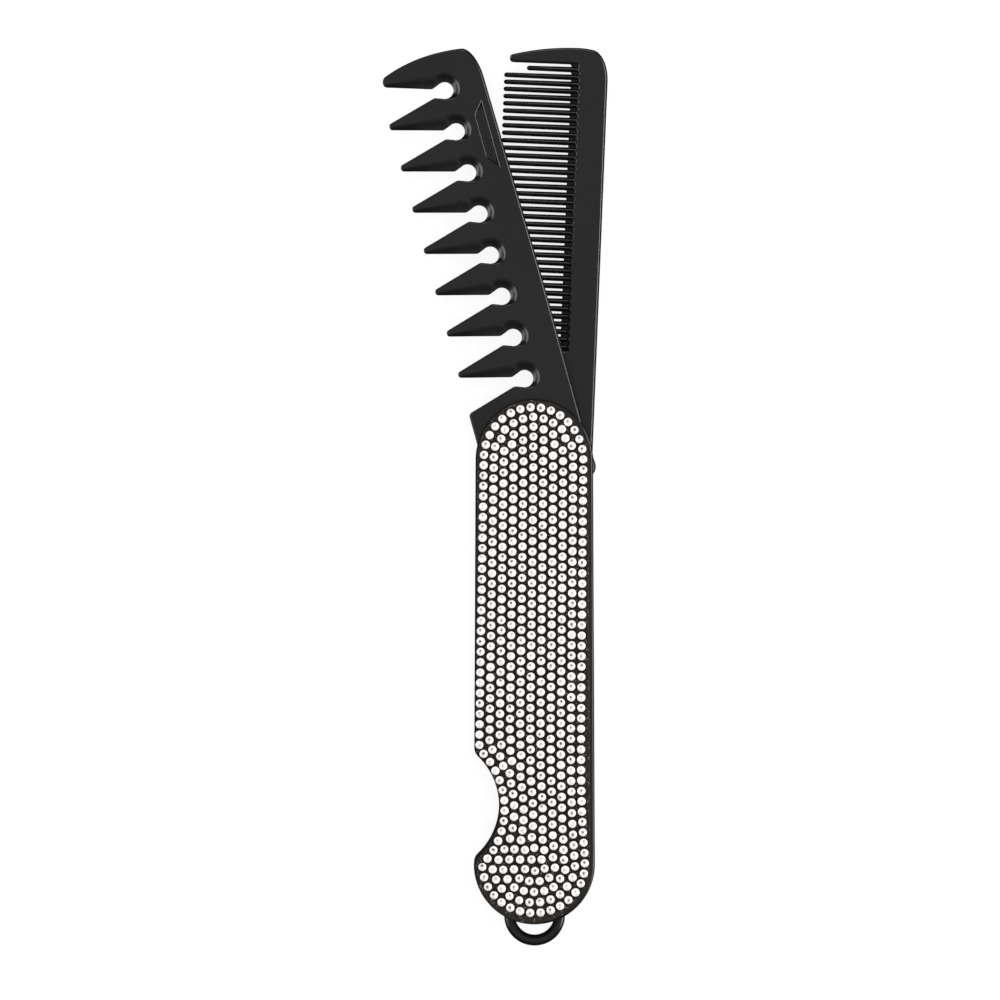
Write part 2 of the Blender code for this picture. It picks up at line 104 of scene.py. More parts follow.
def case_edge(inset=0.0, right_inset=0.0, foot_rise=0.0):
    """The case's outline moved in: two half rounds joined by straight sides, with a notch's arc and two
    fillets let into the left side. Every call gives the same count of points."""
    left = -CASE_LEFT + inset
    right = CASE_RIGHT - inset - right_inset
    middle = (left + right) / 2
    wide = (right - left) / 2
    high = (CASE_LEFT + CASE_RIGHT) / 2 - inset
    fillet = NOTCH_FILLET - inset
    fillet_x = left + fillet
    rise = math.sqrt((NOTCH_RADIUS + NOTCH_FILLET) ** 2 - (fillet_x - NOTCH[0]) ** 2)
    lean = math.degrees(math.atan2(rise, fillet_x - NOTCH[0]))
    points = [
        arc((middle, CASE_TOP_Y), (wide, high), 0, 180, HALF_ROUND_POINTS),
        arc((fillet_x, NOTCH[1] + rise), fillet, 180, 180 + lean, FILLET_POINTS),
        arc(NOTCH, NOTCH_RADIUS + inset, lean, -lean, NOTCH_POINTS)[1:-1],
        arc((fillet_x, NOTCH[1] - rise), fillet, 180 - lean, 180, FILLET_POINTS)[:-1],
        arc((middle, CASE_FOOT_Y), (wide, high - foot_rise), 180, 360, HALF_ROUND_POINTS),
    ]
    return narrowed(np.concatenate(points))


def wall_edge(inset):
    """The closed side's line: down the right, then round the foot to where the wall ends. Its outer face has
    the case's taper, which dies away through the wall, so that the inner face is straight."""
    right = CASE_RIGHT - inset
    middle = (CASE_RIGHT - CASE_LEFT) / 2
    side = np.stack([np.full(SIDE_POINTS, right), np.linspace(WALL_TOP_Y, CASE_FOOT_Y, SIDE_POINTS)], -1)
    foot = arc((middle, CASE_FOOT_Y), right - middle, 360, WALL_END, FOOT_POINTS)
    points = np.concatenate([side, foot[1:]])
    return points + (narrowed(points) - points) * (1 - inset / WALL)


def at_height(points, height):
    """Flat points lifted to a height, which is one number or one for each point."""
    return np.concatenate([points, np.broadcast_to(height, len(points))[:, None]], 1)


def grid_faces(rows, columns, around):
    """Quads between neighbouring rows and columns of a grid, wrapped round where its columns close."""
    last = columns if around else columns - 1
    row, column = np.meshgrid(np.arange(rows - 1), np.arange(last), indexing="ij")
    after = (column + 1) % columns
    corners = [row * columns + column, row * columns + after]
    corners += [(row + 1) * columns + after, (row + 1) * columns + column]
    return np.stack(corners, -1).reshape(-1, 4)


def flat_fill(loops, up):
    """Triangles that fill a flat outline, less any outlines inside it, turned to face up or down. Those with
    next to no area are left out."""
    points = np.concatenate(loops)
    corners = np.array(tessellate_polygon([at_height(loop, 0.0).tolist() for loop in loops]))
    a, b, c = (points[corners[:, i]] for i in range(3))
    area = (b[:, 0] - a[:, 0]) * (c[:, 1] - a[:, 1]) - (b[:, 1] - a[:, 1]) * (c[:, 0] - a[:, 0])
    turned = (area < 0) == up
    corners[turned] = corners[turned][:, ::-1]
    return corners[np.abs(area) > SLIVER_AREA]


def closed_body(rings):
    """A closed skin through rings of equal count, from the lowest up, with a flat fill at both ends."""
    rows, columns = len(rings), len(rings[0])
    low = flat_fill([rings[0][:, :2]], False)
    high = flat_fill([rings[-1][:, :2]], True) + (rows - 1) * columns
    return np.concatenate(rings), [grid_faces(rows, columns, True), low, high]


def swept_bar(lines):
    """A bar between lines of equal count that run round its section, with its two ends filled by a fan."""
    grid = np.stack(lines, 1)
    rows, columns = grid.shape[:2]
    ends = np.stack([grid[0].mean(0), grid[-1].mean(0)])
    ring = np.arange(columns)
    after = (ring + 1) % columns
    centre = rows * columns
    first = np.stack([np.full(columns, centre), after, ring], -1)
    last = np.stack([np.full(columns, centre + 1), ring, after], -1) + [0, centre - columns, centre - columns]
    points = np.concatenate([grid.reshape(-1, 3), ends])
    return points, [grid_faces(rows, columns, True), first, last]


def placed(name, data):
    """A new object in the scene, at the origin, that holds a mesh, a lamp or a lens."""
    made = bpy.data.objects.new(name, data)
    bpy.context.scene.collection.objects.link(made)
    return made


def make_piece(name, shapes, finishes, body, nodes=(), smooth_angle=34):
    """One object out of shapes, each its points, its faces and, where it isn't the first, the number of its
    finish. It is smooth but for the edges that are sharper than an angle."""
    points, faces, kinds, start = [], [], [], 0
    for shape in shapes:
        points.append(shape[0])
        faces += [corner for block in shape[1] for corner in (block + start).tolist()]
        kinds += [shape[2] if len(shape) > 2 else 0] * sum(len(block) for block in shape[1])
        start += len(shape[0])
    mesh = bpy.data.meshes.new(name)
    mesh.from_pydata(np.concatenate(points).tolist(), [], faces)
    for finish in finishes:
        mesh.materials.append(finish)
    mesh.polygons.foreach_set("material_index", kinds)
    mesh.shade_smooth()
    mesh.set_sharp_from_angle(angle=math.radians(smooth_angle))
    made = placed(name, mesh)
    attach(made, body)
    if nodes:
        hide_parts(*nodes)
    return made


def group_of(name, inputs, outputs):
    """An empty node group with named sockets, each a name and a kind, and its input and output nodes."""
    group = bpy.data.node_groups.new(name, "ShaderNodeTree")
    for label, kind in inputs:
        group.interface.new_socket(label, in_out="INPUT", socket_type=kind)
    for label, kind in outputs:
        group.interface.new_socket(label, in_out="OUTPUT", socket_type=kind)
    return group, group.nodes.new("NodeGroupInput"), group.nodes.new("NodeGroupOutput")


def set_inputs(node, values):
    """Plain values put in a node's inputs, by their labels."""
    for label, value in values.items():
        node.inputs[label].default_value = value


def noise(tree, coordinates, scale, detail, roughness=0.5):
    """A noise pattern of a number of lumps to the metre."""
    node = tree.nodes.new("ShaderNodeTexNoise")
    set_inputs(node, {"Scale": scale, "Detail": detail, "Roughness": roughness})
    tree.links.new(coordinates, node.inputs["Vector"])
    return node.outputs["Fac"]


def stretched(tree, value, low, high, to_low, to_high):
    """A value carried from one range to another, and held at that range's ends."""
    node = tree.nodes.new("ShaderNodeMapRange")
    set_inputs(node, {"From Min": low, "From Max": high, "To Min": to_low, "To Max": to_high})
    tree.links.new(value, node.inputs["Value"])
    return node.outputs["Result"]


def combined(tree, operation, first, second):
    """Two values added, multiplied or taken apart. Either may be a plain number."""
    node = tree.nodes.new("ShaderNodeMath")
    node.operation = operation
    for socket, value in zip(node.inputs, (first, second)):
        if isinstance(value, (int, float)):
            socket.default_value = value
        else:
            tree.links.new(value, socket)
    return node.outputs[0]


def moulding_marks():
    """What moulded black plastic shows: a fine even grain, slow clouds of sheen where it flowed, and pale
    specks of dust and, where they are set dense, painted glints. The grain and the clouds are noise, and the
    specks are the top of a finer noise."""
    group, given, result = group_of(
        "moulding_marks",
        [("Colour", "NodeSocketColor"), ("Roughness", "NodeSocketFloat"), ("Dust and glints", "NodeSocketFloat")],
        [("Colour", "NodeSocketColor"), ("Roughness", "NodeSocketFloat"), ("Height", "NodeSocketFloat")],
    )
    place = group.nodes.new("ShaderNodeTexCoord").outputs["Object"]
    clouds = stretched(group, noise(group, place, CLOUD_SCALE, 2), *NOISE_BAND, -CLOUD_SHEEN, CLOUD_SHEEN)
    grain = noise(group, place, GRAIN_SCALE, 3)
    specks = noise(group, place, DUST_AND_GLINT_SCALE, 2, DUST_AND_GLINT_ROUGHNESS)
    lift = combined(group, "MULTIPLY", given.outputs["Dust and glints"], DUST_AND_GLINT_LIFT)
    dust_and_glints = stretched(group, combined(group, "ADD", specks, lift), *DUST_AND_GLINT_BAND, 0, 1)
    pale = group.nodes.new("ShaderNodeMix")
    pale.data_type = "RGBA"
    pale.inputs["B"].default_value = DUST_AND_GLINT_COLOUR
    group.links.new(dust_and_glints, pale.inputs["Factor"])
    group.links.new(given.outputs["Colour"], pale.inputs["A"])
    group.links.new(pale.outputs["Result"], result.inputs["Colour"])
    flow = combined(group, "ADD", given.outputs["Roughness"], clouds)
    dull = combined(group, "MULTIPLY", dust_and_glints, DUST_AND_GLINT_DULLNESS)
    proud = combined(group, "MULTIPLY", dust_and_glints, DUST_AND_GLINT_HEIGHT)
    group.links.new(combined(group, "ADD", flow, dull), result.inputs["Roughness"])
    group.links.new(combined(group, "ADD", grain, proud), result.inputs["Height"])
    return group


marks = moulding_marks()


def new_finish(name):
    """An empty material, with its nodes and its surface shader."""
    made = bpy.data.materials.new(name)
    made.use_nodes = True
    return made, made.node_tree, made.node_tree.nodes["Principled BSDF"]


def moulded_plastic(name, colour, roughness, relief, dust_and_glints=0.0, shine=0.5):
    """Moulded plastic with its marks: how deep its grain is, how many pale specks of dust and painted glints
    it has, and how much it mirrors.
    """
    made, tree, shader = new_finish(name)
    surface = tree.nodes.new("ShaderNodeGroup")
    surface.node_tree = marks
    set_inputs(surface, {"Colour": (*colour, 1), "Roughness": roughness, "Dust and glints": dust_and_glints})
    bump = tree.nodes.new("ShaderNodeBump")
    set_inputs(bump, {"Distance": relief, "Strength": GRAIN_STRENGTH})
    tree.links.new(surface.outputs["Height"], bump.inputs["Height"])
    tree.links.new(surface.outputs["Colour"], shader.inputs["Base Color"])
    tree.links.new(surface.outputs["Roughness"], shader.inputs["Roughness"])
    tree.links.new(bump.outputs["Normal"], shader.inputs["Normal"])
    set_inputs(shader, {"IOR": PLASTIC_IOR, "Specular IOR Level": shine})
    return made


case_black = moulded_plastic("case_black", CASE_COLOUR, roughness=0.28, relief=0.000004)


def wall_half(low_z, high_z):
    """The wall as a bar whose section is a rectangle. The upper corners are eased, the outer one in two steps
    that keep to a round."""
    ease, middle = LIP_ROUND, LIP_ROUND * LIP_MIDDLE
    corners = [(WALL, low_z), (0.0, low_z), (0.0, high_z - ease), (middle, high_z - middle)]
    corners += [(ease, high_z), (WALL - ease, high_z), (WALL, high_z - ease)]
    return swept_bar([at_height(wall_edge(inset), z) for inset, z in corners])


turn = np.radians(np.linspace(0, 90, 9))
lip_middle = LIP_ROUND * LIP_MIDDLE
back_profile = [(BACK_ROUND + MARGIN, 0.0)]
back_profile += list(zip(BACK_ROUND * (1 - np.sin(turn)), BACK_ROUND * (1 - np.cos(turn))))
back_profile += [(0.0, BACK_FLOOR_Z - LIP_ROUND), (lip_middle, BACK_FLOOR_Z - lip_middle)]
back_profile += [(LIP_ROUND, BACK_FLOOR_Z), (LIP_ROUND + MARGIN, BACK_FLOOR_Z)]
back_floor = closed_body([at_height(case_edge(inset), z) for inset, z in back_profile])
back_wall = wall_half(BACK_FLOOR_Z - LIP_ROUND, SEAM_Z - SEAM_HALF)
make_piece("case_back", [back_floor, back_wall], [case_black], "case", ["back_shell"])

# The pin: one plain steel rod pressed into both halves of the case, hidden under the stones. It is seen only
# between the blades' ends, so it keeps its turned shape and gets a drawn steel finish.

STEEL_COLOUR = (0.52, 0.52, 0.54, 1)
STEEL_ROUGHNESS = (0.22, 0.42)
STREAK_SCALE = 6000
STREAK_SQUEEZE = 0.02


def drawn_steel():
    """Steel drawn through a die: long fine streaks along the rod, from noise squeezed round it."""
    made, tree, shader = new_finish("drawn_steel")
    squeeze = tree.nodes.new("ShaderNodeMapping")
    set_inputs(squeeze, {"Scale": (1, 1, STREAK_SQUEEZE)})
    tree.links.new(tree.nodes.new("ShaderNodeTexCoord").outputs["Object"], squeeze.inputs["Vector"])
    streaks = noise(tree, squeeze.outputs["Vector"], STREAK_SCALE, 3)
    tree.links.new(stretched(tree, streaks, *NOISE_BAND, *STEEL_ROUGHNESS), shader.inputs["Roughness"])
    set_inputs(shader, {"Base Color": STEEL_COLOUR, "Metallic": 1})
    return made


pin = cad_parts["pivot_pin"]
pin.data.materials.clear()
pin.data.materials.append(drawn_steel())

# The fine-toothed blade: black plastic, with a thick back, a thinner web, and slim round-tipped teeth that
# run on over the web as ribs. A thick guard tooth and a short one stand at its tip.

FINE_ANGLE = -2.3
FINE_Z = 0.0043
FINE_HALF = 0.0018
FINE_BACK_X = 0.0143
FINE_BACK_TOP_X = 0.01433
FINE_CORNER = (0.0042, 0.0075)
FINE_APEX = (0.00705, 0.0992)
FINE_TIP_RADIUS = 0.0181
FINE_TEETH = 37
FINE_PITCH = 0.00183
FINE_CLOSER = 0.00094
FINE_CLOSER_TEETH = 6
FINE_FIRST_Y = 0.09215
FINE_GAP_X = 0.0055
FINE_LEDGE_X = 0.0071
FINE_TOOTH_X = -0.01066
FINE_ROOT_HALF = 0.00070
FINE_END_HALF = 0.00057
FINE_ROUND = 0.00062
SHORT_TOOTH = (-0.00525, 0.0940)
GUARD = (-0.0085, 0.09623)
GUARD_RADIUS = 0.0009
TAPER_FROM_Y = 0.0515
TAPER_SLOPE = 0.32
TANG_RADIUS = 0.0120
FINE_EDGE = 0.0006
FINE_BACK_EDGE = (0.0008, 0.0012)
FINE_SPUR = [(0.0141, -0.0034), (0.0146, -0.0031), (0.0150, -0.0025), (0.0152, -0.0017)]
FINE_SPUR += [(0.0152, -0.0010), (0.0150, -0.0003), (0.0146, 0.0007), (FINE_BACK_X, 0.0020)]
FINE_HEEL = (0.0012, -0.0004)
FINE_NECK = (0.0002, 0.0174)
TANG_TURN = (110, 345)
LEDGE_TEETH = (-0.9, FINE_TEETH - 0.5)
LEDGE_POINTS = 640
LINE_STEP = 0.0006
SCALLOP = 0.00022
EDGE_STEPS = 11
WEB_HALF = 0.00075
WEB_EDGE = [(0.0, 0.5), (0.00012, 0.9), (0.0003, 1.0)]
WEB_HOLLOW = 0.0003
WEB_OVERLAP = 0.0006
WEB_TEETH = (-2.1, FINE_TEETH - 0.4)
WEB_POINTS = 600
TOOTH_OVERLAP = 0.0003
TOOTH_SUNK = 0.0003
TOOTH_THINNING = 0.0008
TOOTH_SECTIONS = 22
TOOTH_SIDES = 16
TIP_CROWDING = 1.6
TOOTH_SHADE_COLOUR = (0.0022, 0.0021, 0.0020)
BLADE_COLOUR = (0.0042, 0.0044, 0.0048)


def blade_tip(back_x, corner, apex, radius, tooth, tooth_radius, until):
    """The back's round corner, a quarter ellipse, then two arcs that meet where the tip reaches furthest, and
    the end tooth's nose. All join smoothly: the second arc's radius is the one that touches it."""
    middle_x = back_x - corner[0]
    join = math.pi / 2
    for _ in range(6):
        start = math.asin((middle_x + corner[0] * math.cos(join) - apex[0]) / radius)
        join = math.atan2(corner[1], corner[0] * math.tan(start))
    corner_y = apex[1] - radius * (1 - math.cos(start)) - corner[1] * math.sin(join)
    along, drop = tooth[0] - apex[0], apex[1] - tooth[1]
    long_radius = (along**2 + drop**2 - tooth_radius**2) / (2 * (drop - tooth_radius))
    touch = 90 - math.degrees(math.asin(along / (long_radius - tooth_radius)))
    return [
        arc((middle_x, corner_y), corner, 0, math.degrees(join), 24),
        arc((apex[0], apex[1] - radius), radius, 90 - math.degrees(start), 90, 16)[1:],
        arc((apex[0], apex[1] - long_radius), long_radius, 90, touch, 30)[1:],
        arc(tooth, tooth_radius, touch, until, 16)[1:],
    ]


def inward(points):
    """The unit normals that point into a closed outline: the tangent over both neighbours, turned left."""
    along = np.roll(points, -1, 0) - np.roll(points, 1, 0)
    along /= np.linalg.norm(along, axis=1)[:, None]
    return np.stack([-along[:, 1], along[:, 0]], -1)


def even_line(points, spacing):
    """A closed outline with points put in along its long stretches, none of them further apart than the
    spacing."""
    after = np.roll(points, -1, 0)
    count = np.maximum(1, np.ceil(np.linalg.norm(after - points, axis=1) / spacing).astype(int))
    which = np.repeat(np.arange(len(points)), count)
    step = np.arange(len(which)) - np.repeat(np.cumsum(count) - count, count)
    share = (step / count[which])[:, None]
    return points[which] * (1 - share) + after[which] * share


def put_in_place(shape, angle, height):
    """A blade's shape turned from its own frame to where it rests."""
    lean = math.radians(angle)
    turned = np.array([[math.cos(lean), -math.sin(lean), 0], [math.sin(lean), math.cos(lean), 0], [0, 0, 1]])
    return shape[0] @ turned.T + [0, 0, height], *shape[1:]


def fine_tooth_y(i):
    """A tooth's middle, counted from the tip: an even pitch, less a little that dies away exponentially."""
    return FINE_FIRST_Y - i * FINE_PITCH + FINE_CLOSER * (1 - np.exp(-i / FINE_CLOSER_TEETH))


def fine_back():
    """The thick back with a spur at its foot, the guard tooth and the round end in the case. Its edge is
    rounded, most along the back, and beside the teeth it is scalloped by a cosine of their count."""
    count = np.linspace(*LEDGE_TEETH, LEDGE_POINTS)
    ledge = FINE_LEDGE_X - SCALLOP * np.cos(2 * np.pi * count)
    ledge_foot_y = fine_tooth_y(LEDGE_TEETH[1])
    points = [np.array(FINE_SPUR)]
    points += blade_tip(FINE_BACK_TOP_X, FINE_CORNER, FINE_APEX, FINE_TIP_RADIUS, GUARD, GUARD_RADIUS, 270)
    points += [np.array([(FINE_LEDGE_X, GUARD[1] - GUARD_RADIUS)])]
    points += [np.stack([ledge, fine_tooth_y(count)], -1)]
    points += [np.array([(FINE_HEEL[0], ledge_foot_y + FINE_HEEL[1]), FINE_NECK])]
    points += [arc((0, 0), TANG_RADIUS, *TANG_TURN, 60)]
    outline = even_line(np.concatenate(points), LINE_STEP)
    normals = inward(outline)
    at_back = np.clip((outline[:, :1] - FINE_LEDGE_X) / (FINE_BACK_X - FINE_LEDGE_X), 0, 1)
    width, depth = (FINE_EDGE + (back - FINE_EDGE) * at_back for back in FINE_BACK_EDGE)
    rings = [at_height(outline + normals * (width + MARGIN), FINE_HALF)]
    for bow in np.radians(np.linspace(0, 90, EDGE_STEPS)):
        height = FINE_HALF - depth[:, 0] * (1 - math.cos(bow))
        rings.append(at_height(outline + normals * width * (1 - math.sin(bow)), height))
    mirrored = [ring * [1, 1, -1] for ring in rings]
    return closed_body(mirrored + rings[::-1])


def fine_web():
    """The web between the teeth's roots: a thin plate whose free edge is hollow in each gap."""
    count = np.linspace(*WEB_TEETH, WEB_POINTS)
    y = fine_tooth_y(count)
    free_x = FINE_GAP_X - WEB_HOLLOW * (1 + np.cos(2 * np.pi * count)) / 2
    edges = [(free_x + inset, share * WEB_HALF) for inset, share in WEB_EDGE]
    edges.append((np.full(WEB_POINTS, FINE_LEDGE_X + WEB_OVERLAP), WEB_HALF))
    lines = [at_height(np.stack([x, y], -1), z) for x, z in edges]
    return swept_bar([line * [1, 1, -1] for line in lines] + lines[::-1])


def fine_tooth(tip_x, tooth_y):
    """One tooth: rounded sections along it, closest together at the tip, whose width and thickness shrink
    evenly to a round end."""
    along = 1 - (1 - np.linspace(0, 1, TOOTH_SECTIONS)) ** TIP_CROWDING
    root_x = FINE_LEDGE_X + TOOTH_OVERLAP
    x = root_x + (tip_x - root_x) * along
    to_tip = np.clip((x - tip_x) / FINE_ROUND, 0, 1)
    blunt = np.sqrt(1 - (1 - to_tip) ** 2)
    width = (FINE_ROOT_HALF + (FINE_END_HALF - FINE_ROOT_HALF) * along) * blunt
    thick = (FINE_HALF - TOOTH_SUNK - TOOTH_THINNING * along) * blunt
    angle = np.linspace(0, 2 * np.pi, TOOTH_SIDES, endpoint=False)
    side, rise = np.cos(angle), np.sin(angle)
    return swept_bar([np.stack([x, tooth_y - width * s, thick * r], -1) for s, r in zip(side, rise)])


# The web and teeth get a darker, less shiny copy of the blade's plastic, as painted shade on them.
shaded_tooth_black = moulded_plastic("shaded_tooth_black", TOOTH_SHADE_COLOUR, roughness=0.3, relief=0.000003, shine=0.3)
blade_black = moulded_plastic("blade_black", BLADE_COLOUR, roughness=0.28, relief=0.000006)
tooth_rows = np.arange(FINE_TEETH)
tooth_tips = FINE_TOOTH_X + np.maximum(0, TAPER_FROM_Y - fine_tooth_y(tooth_rows)) * TAPER_SLOPE
fine_shapes = [fine_web(), fine_tooth(*SHORT_TOOTH)]
fine_shapes += [fine_tooth(tip, fine_tooth_y(i)) for i, tip in zip(tooth_rows, tooth_tips)]
fine_shapes = [(*fine_back(), 0)] + [(*shape, 1) for shape in fine_shapes]
fine_shapes = [put_in_place(shape, FINE_ANGLE, FINE_Z) for shape in fine_shapes]
fine_finishes = [blade_black, shaded_tooth_black]
make_piece("fine_blade", fine_shapes, fine_finishes, "fine_blade", ["fine_comb"])

# The wide-toothed blade: black plastic, with keyhole gaps between its teeth. Both faces are hollowed round
# each keyhole and along the underside of each tooth, and the front has a sunk panel near the back.

WIDE_ANGLE = 15.5
WIDE_Z = 0.00855
WIDE_HALF = 0.00205
WIDE_BACK_X = 0.01374
WIDE_BACK_TOP_X = 0.0131
WIDE_STRAIGHT_Y = 0.042
WIDE_HEEL_Y = -0.0033
WIDE_CORNER = (0.00365, 0.00835)
WIDE_APEX = (0.0028, 0.0999)
WIDE_TIP_RADIUS = 0.0461
END_TOP = (-0.00906, 0.09621)
END_TOP_RADIUS = 0.0016
END_UNDER_RADIUS = 0.0010
WIDE_TEETH = 8
WIDE_PITCH = 0.010245
WIDE_FIRST_GAP_Y = 0.09077
WIDE_FIRST_TOOTH_Y = 0.08577
WIDE_TOOTH_PITCH = 0.010286
KEYHOLE_X = 0.00318
KEYHOLE_RADIUS = 0.00209
KEYHOLE_OPEN = 124
KEYHOLE_POINTS = 56
LIP = (0.00036, 0.00115)
LIP_EASE = 0.0004
WIDE_TOOTH_X = -0.01116
WIDE_TOOTH_TIP = 0.00078
SHOULDER = (-0.0120, 0.0144)
SHOULDER_EASE = 0.0009
SCOOP_RADIUS = 0.0039
SCOOP_SHIFT = 0.00046
SCOOP_DEPTH = 0.00125
SCOOP_AT_LIP = 0.0029
SCOOP_DEEPENING = 0.6
SCOOP_HOLLOWING = 0.3
SCOOP_END = -96
SCOOP_FADE = 68
SCOOP_EASE = 0.05
WIDE_EDGE = 0.00040
WIDE_EDGE_DEPTH = 0.00062
BACK_EDGE = (0.0008, 0.0012)
WINDOW_CORNERS = [(0.0112, 0.0691), (0.0112, 0.0864), (0.0085, 0.0833), (0.0085, 0.0722)]
WINDOW_EASES = [0.0002, 0.0002, 0.0006, 0.0006]
WINDOW_LINE_STEP = 0.0004
WINDOW_DEPTH = 0.0008
WINDOW_CHAMFER = 0.00024
WINDOW_WALL = 0.00036
CHAMFER_STEPS = [0.0, 0.3, 1.0]
CHAMFER_SLOPE = 0.7
CHAMFER_BOW = 1.3
CHAMFER_LEAN = 0.25
WALL_STEPS = [(0.1, 0.2), (0.8, 0.93), (1.0, 1.0), (1.2, 1.0)]


def line(start, end, count):
    """Points spread evenly from one to another, without the last."""
    share = np.linspace(0, 1, count, endpoint=False)[:, None]
    return np.array(start) * (1 - share) + np.array(end) * share


def eased_corner(before, corner, after, reach, count=6):
    """A corner rounded as a parabola: the blend of its two sides, which leaves them at the reach."""
    corner = np.array(corner)
    first = corner + (np.array(before) - corner) / np.linalg.norm(np.array(before) - corner) * reach
    last = corner + (np.array(after) - corner) / np.linalg.norm(np.array(after) - corner) * reach
    t = np.linspace(0, 1, count)[:, None]
    return first * (1 - t) ** 2 + corner * 2 * t * (1 - t) + last * t**2


def stretch_of(points, width, depth, hollow):
    """A stretch of the outline with what its edge does there: the width and depth of the slope from the face
    down to the edge, and how hollow the slope is, from 0, a round, to 1, a scoop."""
    count = len(points)
    values = [np.broadcast_to(v, count) for v in (width, depth, hollow)]
    return np.concatenate([points, np.stack(values, -1)], 1)


def gap_stretches(gap_y, ridge_end_y, tip_from, to_next):
    """The outline from a tooth's tip, in along its underside, round the keyhole and out along the next tooth.

    Along the underside the scoop reaches the tooth's ridge. Round the keyhole it reaches a larger circle that
    is centred a little higher, and it dies away below."""
    upper_lip = (LIP[0], gap_y + LIP[1])
    lower_lip = (LIP[0], gap_y - LIP[1])
    angles = np.linspace(KEYHOLE_OPEN, -KEYHOLE_OPEN, KEYHOLE_POINTS)
    sine, cosine = np.sin(np.radians(angles)), np.cos(np.radians(angles))
    key = np.stack([KEYHOLE_X + KEYHOLE_RADIUS * cosine, gap_y + KEYHOLE_RADIUS * sine], -1)
    under = line(tip_from, upper_lip, 26)[:-1]
    rim_top_y = gap_y + SCOOP_SHIFT + SCOOP_RADIUS
    ridge_y = np.interp(under[:, 0], [WIDE_TOOTH_X, KEYHOLE_X], [ridge_end_y, rim_top_y])
    lean = math.atan2(abs(tip_from[1] - upper_lip[1]), upper_lip[0] - tip_from[0])
    scoop_width = np.maximum((ridge_y - under[:, 1]) * math.cos(lean), WIDE_EDGE)
    opened = np.linspace(0, 1, len(under))
    depth = WIDE_EDGE_DEPTH + (SCOOP_DEPTH - WIDE_EDGE_DEPTH) * opened**SCOOP_DEEPENING
    lip_in = eased_corner(tip_from, upper_lip, key[0], LIP_EASE)
    lip_width = np.linspace(scoop_width[-1], SCOOP_AT_LIP, len(lip_in))
    reach = SCOOP_SHIFT * sine + np.sqrt(SCOOP_RADIUS**2 - (SCOOP_SHIFT * cosine) ** 2)
    fade = np.clip((angles - SCOOP_END) / SCOOP_FADE, 0, 1)
    fade = fade * fade * (3 - 2 * fade)
    key_width = WIDE_EDGE + (reach - KEYHOLE_RADIUS - WIDE_EDGE) * fade
    key_depth = WIDE_EDGE_DEPTH + (SCOOP_DEPTH - WIDE_EDGE_DEPTH) * fade
    lip_out = eased_corner(key[-1], lower_lip, to_next, LIP_EASE)
    out = line(lip_out[-1], to_next, 20)[1:]
    return [
        stretch_of(under, scoop_width, depth, opened**SCOOP_HOLLOWING),
        stretch_of(lip_in, lip_width, SCOOP_DEPTH, 1),
        stretch_of(key[1:-1], key_width[1:-1], key_depth[1:-1], fade[1:-1]),
        stretch_of(lip_out, WIDE_EDGE, WIDE_EDGE_DEPTH, 0),
        stretch_of(out, WIDE_EDGE, WIDE_EDGE_DEPTH, 0),
    ]


def touching_angle(centre, radius, point, side):
    """Where the line from a point touches a circle, as the angle about its centre, in degrees."""
    across, up = point[0] - centre[0], point[1] - centre[1]
    return math.degrees(math.atan2(up, across) + side * math.acos(radius / math.hypot(across, up)))


def wide_line():
    """The wide blade's whole outline from its heel, anticlockwise, with the edge's width, depth and hollow.
    A tooth's end is a circle, and its sides are the lines that touch it from the lips of its two gaps."""
    back = np.array([(WIDE_BACK_X, WIDE_HEEL_Y), (WIDE_BACK_X, WIDE_STRAIGHT_Y)])
    gap_ys = WIDE_FIRST_GAP_Y - WIDE_PITCH * np.arange(WIDE_TEETH)
    tooth_ys = WIDE_FIRST_TOOTH_Y - WIDE_TOOTH_PITCH * np.arange(-1, WIDE_TEETH)
    under = (END_TOP[0] - END_TOP_RADIUS + END_UNDER_RADIUS, END_TOP[1])
    first_touch = 360 + touching_angle(under, END_UNDER_RADIUS, (LIP[0], gap_ys[0] + LIP[1]), -1)
    tip = blade_tip(WIDE_BACK_TOP_X, WIDE_CORNER, WIDE_APEX, WIDE_TIP_RADIUS, END_TOP, END_TOP_RADIUS, 180)
    tip.append(arc(under, END_UNDER_RADIUS, 180, first_touch, 12)[1:])
    corner, over = tip[0], np.concatenate(tip[1:])
    spine = np.concatenate([line(back[0], back[1], 40), line(back[1], corner[0], 44)])
    stretches = [stretch_of(np.concatenate([spine, corner]), *BACK_EDGE, 0)]
    stretches += [stretch_of(over, WIDE_EDGE, WIDE_EDGE_DEPTH, 0)]
    tip_from = over[-1]
    for i, gap_y in enumerate(gap_ys):
        lower_lip = (LIP[0], gap_y - LIP[1])
        if i < WIDE_TEETH - 1:
            middle = (WIDE_TOOTH_X, tooth_ys[i + 1])
            start = touching_angle(middle, WIDE_TOOTH_TIP, lower_lip, 1)
            end = 360 + touching_angle(middle, WIDE_TOOTH_TIP, (LIP[0], gap_ys[i + 1] + LIP[1]), -1)
            tip = arc(middle, WIDE_TOOTH_TIP, start, end, 14)
        else:
            tip = eased_corner(lower_lip, SHOULDER, (SHOULDER[0], 0), SHOULDER_EASE, 9)
        stretches += gap_stretches(gap_y, tooth_ys[i], tip_from, tip[0])
        stretches += [stretch_of(tip, WIDE_EDGE, WIDE_EDGE_DEPTH, 0)]
        tip_from = tip[-1]
    side = line(tip_from, (-TANG_RADIUS, 0), 16)[1:]
    heel = math.degrees(math.asin(WIDE_HEEL_Y / TANG_RADIUS))
    tang = arc((0, 0), TANG_RADIUS, 180, 360 + heel, 60)
    stretches += [stretch_of(np.concatenate([side, tang]), WIDE_EDGE, WIDE_EDGE_DEPTH, 0)]
    return np.concatenate(stretches)


